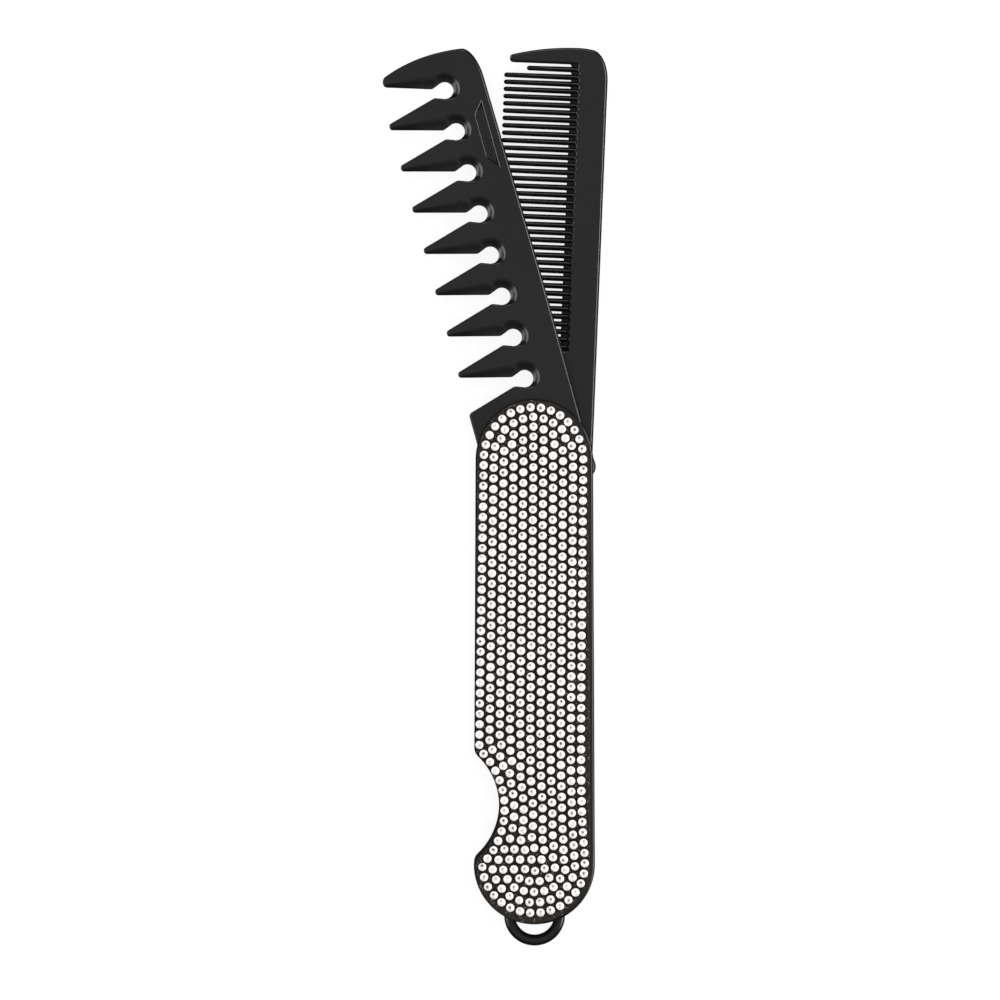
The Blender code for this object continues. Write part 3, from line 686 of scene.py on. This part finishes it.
def window_rings():
    """The sunk panel's edge: four corners rounded, carried down a narrow chamfer and a steep wall to the
    panel's floor. The chamfer is widest on the right, where the wall's normal points left."""
    loop = []
    for i, corner in enumerate(WINDOW_CORNERS):
        after = WINDOW_CORNERS[(i + 1) % 4]
        loop.append(eased_corner(WINDOW_CORNERS[i - 1], corner, after, WINDOW_EASES[i], 7))
    loop = even_line(np.concatenate(loop), WINDOW_LINE_STEP)
    normals = inward(loop)
    chamfer = WINDOW_CHAMFER * (1 - CHAMFER_LEAN - CHAMFER_LEAN * normals[:, :1])
    chamfer_depth = CHAMFER_SLOPE * chamfer[:, 0]
    rings = []
    for share in CHAMFER_STEPS:
        height = WIDE_HALF - chamfer_depth * share**CHAMFER_BOW
        rings.append(at_height(loop + normals * chamfer * share, height))
    for share, sunk in WALL_STEPS:
        height = WIDE_HALF - chamfer_depth * (1 - sunk) - WINDOW_DEPTH * sunk
        rings.append(at_height(loop + normals * (chamfer + WINDOW_WALL * share), height))
    return rings


def wide_plate():
    """The whole blade: from each point of the outline a slope rises to the face. A round one is a quarter of
    an ellipse, and a scoop is straight with both of its ends eased."""
    outline = wide_line()
    points, width, depth, hollow = outline[:, :2], outline[:, 2:3], outline[:, 3], outline[:, 4]
    normals = inward(points)
    rings = []
    for t in np.linspace(0, 1, EDGE_STEPS):
        round_drop = 1 - math.sqrt(1 - (1 - t) ** 2)
        scoop_drop = (1 - t) + SCOOP_EASE * math.sin(2 * math.pi * t)
        drop = round_drop * (1 - hollow) + scoop_drop * hollow
        rings.append(at_height(points + normals * width * t, WIDE_HALF - depth * drop))
    rings.append(at_height(points + normals * (width + MARGIN), WIDE_HALF))
    mirrored = [ring * [1, 1, -1] for ring in rings[::-1]]
    window = window_rings()
    rings = mirrored + rings
    rows, columns = len(rings), len(points)
    low = flat_fill([rings[0][:, :2]], False)
    high = flat_fill([rings[-1][:, :2], window[0][:, :2]], True)
    top_start = (rows - 1) * columns
    plate = np.concatenate(rings + window)
    sunk = grid_faces(len(window), len(window[0]), True) + rows * columns
    floor = flat_fill([window[-1][:, :2]], True) + rows * columns + (len(window) - 1) * len(window[0])
    return plate, [grid_faces(rows, columns, True), low, high + top_start, sunk, floor]


wide_shape = put_in_place(wide_plate(), WIDE_ANGLE, WIDE_Z)
make_piece("wide_blade", [wide_shape], [blade_black], "wide_blade", ["wide_comb"])

# The front half of the case: a moulding like the back one, pressed on over the pin. A sloping edge frames
# the stones. It is steep and narrow but for the closed side, where a round runs out into a gentle slope.

FRONT_CEILING_Z = 0.0109
FRONT_FACE_Z = 0.0130
FRONT_EDGE = 0.0005
FRONT_EDGE_RIGHT = 0.0018
FRONT_EDGE_HEIGHT = 0.0011
FRONT_ROUND = (0.00065, 0.00086)
FRONT_ROUND_TURN = 76
SLOPE_BOW = 0.25
EDGE_FULLNESS = 1.4


def front_plate():
    """The face with its edge, ring by ring. On the right a tall arc stops short of level, and a slope that
    bows a little goes on from it. On the left the same heights follow a chamfer with both of its ends eased:
    the curve on which the two shares of the way, each raised to a power a little over 1, add up to 1."""
    turned = np.radians(np.linspace(0, FRONT_ROUND_TURN, 12))
    right, rise = FRONT_ROUND[0] * (1 - np.cos(turned)), FRONT_ROUND[1] * np.sin(turned)
    slope = np.linspace(0, 1, 7)[1:]
    right = np.concatenate([right, right[-1] + (FRONT_EDGE_RIGHT - right[-1]) * slope])
    bowed = slope * (1 + SLOPE_BOW - SLOPE_BOW * slope)
    rise = np.concatenate([rise, rise[-1] + (FRONT_EDGE_HEIGHT - rise[-1]) * bowed])
    left = FRONT_EDGE * (1 - (1 - (rise / rise[-1]) ** EDGE_FULLNESS) ** (1 / EDGE_FULLNESS))
    rings = [at_height(case_edge(LIP_ROUND + MARGIN), FRONT_CEILING_Z)]
    rings += [at_height(case_edge(LIP_ROUND), FRONT_CEILING_Z)]
    rings += [at_height(case_edge(lip_middle), FRONT_CEILING_Z + lip_middle)]
    rings += [at_height(case_edge(), FRONT_CEILING_Z + LIP_ROUND)]
    for a, b, up in zip(left, right, rise):
        rings.append(at_height(case_edge(a, b - a), FRONT_FACE_Z - FRONT_EDGE_HEIGHT + up))
    rings += [at_height(case_edge(FRONT_EDGE + MARGIN, FRONT_EDGE_RIGHT - FRONT_EDGE), FRONT_FACE_Z)]
    return closed_body(rings)


def turned_over(shape, middle_z):
    """A shape mirrored in a level plane, with its faces turned round so that they still point out."""
    return shape[0] * [1, 1, -1] + [0, 0, 2 * middle_z], [block[:, ::-1] for block in shape[1]]


front_wall = turned_over(wall_half(2 * SEAM_Z - FRONT_CEILING_Z - LIP_ROUND, SEAM_Z - SEAM_HALF), SEAM_Z)
make_piece("case_front", [front_plate(), front_wall], [case_black], "case", ["front_shell"])

# The half ring at the foot, for a cord or a key ring: a bar of the case's own plastic with rounded edges,
# moulded with the case. Its two ends run a little way into the foot.

RING_CENTRE = (0.0004, -0.1098)
RING_OUTER = 0.00733
RING_INNER = 0.0047
RING_LOW_Z = 0.0032
RING_HIGH_Z = 0.0064
RING_ROUND = 0.00125
RING_TURN = (172, 368)


def half_ring():
    """A rounded rectangle carried round half a circle. Each corner of the section is a quarter circle."""
    wide = (RING_OUTER - RING_INNER) / 2 - RING_ROUND
    high = (RING_HIGH_Z - RING_LOW_Z) / 2 - RING_ROUND
    middle = (RING_OUTER + RING_INNER) / 2
    level = (RING_HIGH_Z + RING_LOW_Z) / 2
    angle = np.radians(np.linspace(*RING_TURN, 80))
    lines = []
    for corner, (side, rise) in enumerate(((1, 1), (-1, 1), (-1, -1), (1, -1))):
        for a in np.radians(np.linspace(90 * corner, 90 * corner + 90, 7)):
            radius = middle + side * wide + RING_ROUND * math.cos(a)
            z = level + rise * high + RING_ROUND * math.sin(a)
            x = RING_CENTRE[0] + radius * np.cos(angle)
            y = RING_CENTRE[1] + radius * np.sin(angle)
            lines.append(np.stack([x, y, np.full(len(angle), z)], -1))
    return swept_bar(lines[::-1])


make_piece("hanging_ring_bar", [half_ring()], [case_black], "case", ["hanging_ring"])

# The stones and their sheet: a thin dark sheet with a raised cup round each stone, stuck to the front. The
# cups are
# near black: painted shade of the gap round each stone. The sheet's pale specks are painted glints. The
# stones are small, round and flat-backed, cut with a table and three rows of facets, and backed with foil,
# and each facet's colour is painted light and shade.

SHEET_Z = 0.0136
SHEET_INSET = 0.0004
SHEET_INSET_RIGHT = 0.0008
SHEET_EASE = 0.0001
BORDER_INSET = 0.00204
BORDER_INSET_RIGHT = 0.0004
BORDER_FOOT_RISE = 0.00084
FIELD_DRIFT = 0.0012
FIELD_FOOT_Y = -0.0950
LOBE_TOP_Y = -0.0950
LOBE_MIDDLE_X = -0.0006
STONE_PITCH = 0.00248
COLUMN_STEP = 0.00241
STONE_RADIUS = 0.00099
STONE_HEIGHT = 0.00092
STONE_TABLE = 0.00040
CUP_RADIUS = 0.00122
CUP_HEIGHT = 0.00030
PUSH_REACH = 1.6 * STONE_PITCH
PUSH_STEP = 0.00025
SETTLING_STEPS = 200
VOID_RADIUS = 0.77 * STONE_PITCH
GRID_CLEARANCE = 0.66 * STONE_PITCH
SEARCH_CLEARANCE = 0.7 * STONE_PITCH
SEARCH_STEP = 0.0005
SEARCH_X = (-0.0145, 0.0145)
SEARCH_Y = (-0.112, 0.014)
KITE_RADIUS = 0.74 * STONE_RADIUS
KITE_HEIGHT = 0.68 * STONE_HEIGHT
RIM_HEIGHT = 0.34 * STONE_HEIGHT
CUP_SIDES = 18
CUP_ARCH = [(CUP_RADIUS, 0.0), (CUP_RADIUS - 0.00002, 0.7)]
CUP_ARCH += [(CUP_RADIUS - 0.00007, 1.0), (STONE_RADIUS - 0.00004, 0.8)]
SHEET_COLOUR = (0.013, 0.0095, 0.0065)
CUP_SHADE_COLOUR = (0.0010, 0.0009, 0.0009)
FOIL_SHADE = (0.05, 0.042, 0.04, 1)
FOIL_WARM = (0.82, 0.77, 0.755, 1)
FOIL_WHITE = (0.97, 0.96, 0.955, 1)
SPOT_EDGE = (0.12, 0.52)
TABLE_LIGHT = (0.80, 0.90)
STAR_LIGHT = 0.93
DULL_STAR_LIGHT = (0.55, 0.8)
KITE_LIGHT = (0.8, 1.0)
RIM_LIGHT = (0.75, 1.0)
SIDE_LIGHT = 0.8
DULL_SIDE_LIGHT = 0.3
DULL_SHARE = 0.2


def spread_along(points, pitch):
    """Points at equal steps along a closed line, as near to the pitch as a whole number of steps allows."""
    loop = np.concatenate([points, points[:1]])
    walked = np.concatenate([[0], np.cumsum(np.linalg.norm(np.diff(loop, axis=0), axis=1))])
    count = round(walked[-1] / pitch)
    at = np.arange(count) * walked[-1] / count
    return np.stack([np.interp(at, walked, loop[:, axis]) for axis in (0, 1)], -1)


def field_edge():
    """The middle of the outermost row: the case's edge moved in, which drifts to the left on its way down and
    comes back into line just above the foot."""
    edge = spread_along(case_edge(BORDER_INSET, BORDER_INSET_RIGHT, BORDER_FOOT_RISE), SEARCH_STEP)
    share = np.clip(edge[:, 1] / FIELD_FOOT_Y, 0, 1)
    return edge - np.stack([FIELD_DRIFT * share * (1 - share**8), np.zeros(len(edge))], -1)


def well_inside(points, edge, clearance):
    """The points inside an outline, where a line to their right crosses it an odd number of times, that are
    further from it than the clearance."""
    after = np.roll(edge, -1, 0)
    low, high = np.minimum(edge[:, 1], after[:, 1]), np.maximum(edge[:, 1], after[:, 1])
    slope = (after[:, 0] - edge[:, 0]) / np.where(high > low, after[:, 1] - edge[:, 1], 1)
    crossed = (points[:, 1:] > low) & (points[:, 1:] <= high)
    to_right = edge[:, 0] + (points[:, 1:] - edge[:, 1]) * slope > points[:, :1]
    inside = (crossed & to_right).sum(1) % 2 == 1
    clear = np.linalg.norm(points[:, None] - edge[None], axis=2).min(1) > clearance
    return points[inside & clear]


def settled(inner, border):
    """Stones that push each other apart, and are pushed by the border, until they lie at an even distance."""
    for _ in range(SETTLING_STEPS):
        away = inner[:, None] - np.concatenate([inner, border])[None]
        distance = np.linalg.norm(away, axis=2) + 1e-9
        push = np.clip(1 - distance / PUSH_REACH, 0, None) ** 2 / distance
        inner = inner + PUSH_STEP * (away * push[..., None]).sum(1)
    return inner


def stone_places():
    """The border row follows the field's edge. Inside it the stones start in staggered columns, which give
    way to level rows in the lobe, and settle. Then, three times over, the widest places between them get one
    more stone each, and all settle again."""
    edge = field_edge()
    border = spread_along(edge, STONE_PITCH)
    column, row = np.meshgrid(np.arange(-6, 7), np.arange(-50, 10), indexing="ij")
    columns = np.stack([column * COLUMN_STEP, (row + 0.5 * (column % 2)) * STONE_PITCH], -1).reshape(-1, 2)
    columns = columns[columns[:, 1] > LOBE_TOP_Y + 0.5 * STONE_PITCH]
    row, column = np.meshgrid(np.arange(10), np.arange(-6, 7), indexing="ij")
    rows = [LOBE_MIDDLE_X + (column + 0.5 * (row % 2)) * STONE_PITCH, LOBE_TOP_Y - row * COLUMN_STEP]
    grid = np.concatenate([columns, np.stack(rows, -1).reshape(-1, 2)])
    inner = settled(well_inside(grid, edge, GRID_CLEARANCE), border)
    across, up = np.arange(*SEARCH_X, SEARCH_STEP), np.arange(*SEARCH_Y, SEARCH_STEP)
    search = well_inside(np.stack(np.meshgrid(across, up), -1).reshape(-1, 2), edge, SEARCH_CLEARANCE)
    for _ in range(3):
        nearest = np.linalg.norm(search[:, None] - np.concatenate([inner, border])[None], axis=2).min(1)
        while nearest.max() > VOID_RADIUS:
            widest = search[nearest.argmax()]
            inner = np.concatenate([inner, widest[None]])
            nearest = np.minimum(nearest, np.linalg.norm(search - widest, axis=1))
        inner = settled(inner, border)
    return np.concatenate([border, inner])


def cut_stone():
    """One stone: a table of eight sides, eight stars, eight kites, sixteen facets at the rim and its side.
    The corners of each row stand half a step round from those of the row above."""
    step = np.radians(np.arange(8) * 45.0)
    half = step + np.radians(22.5)
    rim = np.radians(np.arange(16) * 22.5)
    rows = [
        (step, STONE_TABLE, STONE_HEIGHT),
        (half, KITE_RADIUS, KITE_HEIGHT),
        (rim, STONE_RADIUS, RIM_HEIGHT),
        (rim, STONE_RADIUS, 0.0),
    ]
    points = [np.stack([r * np.cos(a), r * np.sin(a), np.full(len(a), z)], -1) for a, r, z in rows]
    i = np.arange(8)
    after, before = (i + 1) % 8, (i - 1) % 8
    rim_i = np.arange(16)
    rim_after = (rim_i + 1) % 16
    faces = [
        i[None],
        np.stack([after, i, i + 8], -1),
        np.stack([i, before + 8, 16 + 2 * i, i + 8], -1),
        np.stack([i + 8, 16 + 2 * i, 17 + 2 * i], -1),
        np.stack([i + 8, 17 + 2 * i, 16 + (2 * i + 2) % 16], -1),
        np.stack([rim_i + 16, rim_i + 32, rim_after + 32, rim_after + 16], -1),
    ]
    return np.concatenate(points), faces


def cup():
    """The raised ring round a stone: an arch carried round a circle."""
    angle = np.radians(np.arange(CUP_SIDES) * 360 / CUP_SIDES)
    circle = np.stack([np.cos(angle), np.sin(angle)], -1)
    rings = [at_height(radius * circle, share * CUP_HEIGHT) for radius, share in CUP_ARCH]
    return np.concatenate(rings), [grid_faces(len(rings), CUP_SIDES, True)]


def repeated(shape, places, turns, sizes):
    """Copies of a shape, each sized, turned about its own axis and moved to its place."""
    cosine, sine = (np.cos(turns) * sizes)[:, None], (np.sin(turns) * sizes)[:, None]
    x = shape[0][:, 0] * cosine - shape[0][:, 1] * sine + places[:, :1]
    y = shape[0][:, 0] * sine + shape[0][:, 1] * cosine + places[:, 1:]
    z = np.broadcast_to(shape[0][:, 2] + SHEET_Z, x.shape)
    points = np.stack([x, y, z], -1).reshape(-1, 3)
    start = (np.arange(len(places)) * len(shape[0]))[:, None, None]
    return points, [(block[None] + start).reshape(-1, block.shape[1]) for block in shape[1]]


def foiled_crystal():
    """Cut glass over foil, seen white. Each facet's colour is painted with its own share of light, as painted
    glints and painted shade. The stone's UV map runs out in stone radii from a point a little off its middle,
    where a small spot of painted shade with a faint warm tint sits."""
    made, tree, shader = new_finish("foiled_crystal")
    outward = tree.nodes.new("ShaderNodeVectorMath")
    outward.operation = "LENGTH"
    around = tree.nodes.new("ShaderNodeUVMap")
    around.uv_map = "from_hollow"
    tree.links.new(around.outputs["UV"], outward.inputs[0])
    facet = tree.nodes.new("ShaderNodeAttribute")
    facet.attribute_name = "facet_light"
    spot = stretched(tree, outward.outputs["Value"], *SPOT_EDGE, 1, 0)
    depth = tree.nodes.new("ShaderNodeAttribute")
    depth.attribute_name = "spot_shade_depth"
    shade = combined(tree, "MULTIPLY", spot, depth.outputs["Fac"])
    light = combined(tree, "SUBTRACT", facet.outputs["Fac"], shade)
    tint = tree.nodes.new("ShaderNodeValToRGB")
    tint.color_ramp.elements[0].color = FOIL_SHADE
    tint.color_ramp.elements[1].color = FOIL_WHITE
    warm = tint.color_ramp.elements.new(0.8)
    warm.color = FOIL_WARM
    tree.links.new(light, tint.inputs["Fac"])
    tree.links.new(tint.outputs["Color"], shader.inputs["Base Color"])
    set_inputs(shader, {"Roughness": 0.08, "Metallic": 0.1, "IOR": 1.6})
    set_inputs(shader, {"Coat Weight": 0.6, "Coat Roughness": 0.03})
    return made


def set_values(mesh, name, domain, values):
    """A number for each face or point of a mesh, kept under a name."""
    mesh.attributes.new(name, "FLOAT", domain).data.foreach_set("value", values.astype(np.float32).ravel())


# The sheet's dense pale specks are painted glints between the stones.
sheet_black = moulded_plastic(
    "sheet_black", SHEET_COLOUR, roughness=0.5, relief=0.00002, dust_and_glints=2.0, shine=0.25
)
# The cups' near-black finish is painted shade of the gap round each stone.
cup_shade_black = moulded_plastic("cup_shade_black", CUP_SHADE_COLOUR, roughness=0.4, relief=0.000004, shine=0.1)
places = stone_places()
count = len(places)
chance = np.random.default_rng(11)
turns = chance.uniform(0, 2 * np.pi, count)
sizes = chance.uniform(0.97, 1.02, count)
sheet_levels = [(0.0, FRONT_FACE_Z - SHEET_EASE), (0.0, SHEET_Z - SHEET_EASE), (SHEET_EASE, SHEET_Z)]
sheet_levels += [(SHEET_EASE + MARGIN, SHEET_Z)]
sheet = closed_body([at_height(case_edge(SHEET_INSET + a, SHEET_INSET_RIGHT), z) for a, z in sheet_levels])
cups = (*repeated(cup(), places, turns, np.ones(count)), 1)
make_piece("stone_sheet", [sheet, cups], [sheet_black, cup_shade_black], "case")
stone = cut_stone()
crystals = [repeated(stone, places, turns, sizes)]
foil = [foiled_crystal()]
stones = make_piece("stones", crystals, foil, "case", ["stone_panel"], smooth_angle=1)
# Painted light and shade on the facets: each facet's own share of light, with a few stars and sides painted
# darker.
dull = chance.random((count, 16)) < DULL_SHARE
facet_light = [
    chance.uniform(*TABLE_LIGHT, (count, 1)),
    np.where(dull[:, :8], chance.uniform(*DULL_STAR_LIGHT, (count, 8)), STAR_LIGHT),
    chance.uniform(*KITE_LIGHT, (count, 8)),
    chance.uniform(*RIM_LIGHT, (count, 16)),
    np.where(dull, DULL_SIDE_LIGHT, SIDE_LIGHT),
]
set_values(stones.data, "facet_light", "FACE", np.concatenate([block.ravel() for block in facet_light]))
# Each stone's small spot of painted shade: how dark it is, and how far off the middle it sits.
set_values(stones.data, "spot_shade_depth", "POINT", np.repeat(chance.uniform(0.25, 1.0, count), len(stone[0])))
offset = np.stack([chance.normal(-0.08, 0.10, count), chance.normal(0.16, 0.10, count)], -1)
local = np.zeros((count * len(stone[0]), 3), np.float32)
stones.data.vertices.foreach_get("co", local.ravel())
from_hollow = (local[:, :2].reshape(count, -1, 2) - places[:, None]) / STONE_RADIUS - offset[:, None]
corner_point = np.zeros(len(stones.data.loops), np.int32)
stones.data.loops.foreach_get("vertex_index", corner_point)
around = stones.data.uv_layers.new(name="from_hollow")
around.data.foreach_set("uv", from_hollow.reshape(-1, 2)[corner_point].astype(np.float32).ravel())

# The studio: a pale board that the comb lies on, soft boxes on three sides, a lamp and a pale ceiling above,
# and the camera, which looks straight down. The board glows a little, and no reflection shows it.

BOARD_HALF = 1.5
BOARD_SHADE = (0.15, 0.17)
BOARD_GLOW = 0.85
CEILING_FADE = (0.35, 1.0)
CEILING_LIGHT = (0.03, 0.46)
FRAME_WIDTH = 0.240
PHOTO_CENTRE = (-0.00792, -0.00991)
CAMERA_HEIGHT = 1.3
FOCUS_Z = 0.0085


def pale_floor():
    """A wide pale board, flat, with a trace of grain in its colour."""
    mesh = bpy.data.meshes.new("floor")
    corners = np.array([(-1, -1, 0), (1, -1, 0), (1, 1, 0), (-1, 1, 0)]) * BOARD_HALF
    mesh.from_pydata(corners.tolist(), [], [(0, 1, 2, 3)])
    made, tree, shader = new_finish("pale_board")
    place = tree.nodes.new("ShaderNodeTexCoord").outputs["Object"]
    shade = stretched(tree, noise(tree, place, 300, 3), *NOISE_BAND, *BOARD_SHADE)
    tree.links.new(shade, shader.inputs["Base Color"])
    set_inputs(shader, {"Roughness": 0.9, "Emission Color": (1, 1, 1, 1), "Emission Strength": BOARD_GLOW})
    mesh.materials.append(made)
    floor = placed("floor", mesh)
    floor.visible_glossy = False


def soft_light(name, place, wide, high, power):
    """A soft box that faces the comb."""
    data = bpy.data.lights.new(name, "AREA")
    data.shape = "RECTANGLE"
    data.size = wide
    data.size_y = high
    data.energy = power
    lamp = placed(name, data)
    lamp.location = place
    lamp.rotation_euler = lamp.location.to_track_quat("Z", "Y").to_euler()
    return lamp


def studio_room():
    """The room round the studio: a pale ceiling straight above, which fades out towards the dark walls, and
    all pale where the camera sees past the floor."""
    world = bpy.data.worlds.new("studio")
    bpy.context.scene.world = world
    world.use_nodes = True
    tree = world.node_tree
    direction = tree.nodes.new("ShaderNodeSeparateXYZ")
    tree.links.new(tree.nodes.new("ShaderNodeTexCoord").outputs["Generated"], direction.inputs[0])
    ceiling = stretched(tree, direction.outputs["Z"], *CEILING_FADE, *CEILING_LIGHT)
    seen = tree.nodes.new("ShaderNodeLightPath").outputs["Is Camera Ray"]
    unseen = combined(tree, "SUBTRACT", 1.0, seen)
    strength = combined(tree, "ADD", seen, combined(tree, "MULTIPLY", unseen, ceiling))
    tree.links.new(strength, tree.nodes["Background"].inputs["Strength"])
    set_inputs(tree.nodes["Background"], {"Color": (1, 1, 1, 1)})


pale_floor()
overhead = soft_light("overhead", (0, 0, 1.7), wide=1.2, high=1.2, power=17)
overhead.visible_glossy = False
soft_light("left_box", (-1.15, 0.1, 0.52), wide=1.4, high=0.55, power=11)
soft_light("right_box", (1.12, 0, 0.45), wide=1.3, high=0.35, power=16)
soft_light("top_box", (0, 1.2, 0.75), wide=0.9, high=0.5, power=5)
studio_room()
lens = bpy.data.cameras.new("camera")
lens.sensor_width = 36
lens.lens = lens.sensor_width * (CAMERA_HEIGHT - FOCUS_Z) / FRAME_WIDTH
camera = placed("camera", lens)
camera.location = (*PHOTO_CENTRE, CAMERA_HEIGHT)
bpy.context.scene.camera = camera
bpy.context.scene.view_settings.view_transform = "Standard"
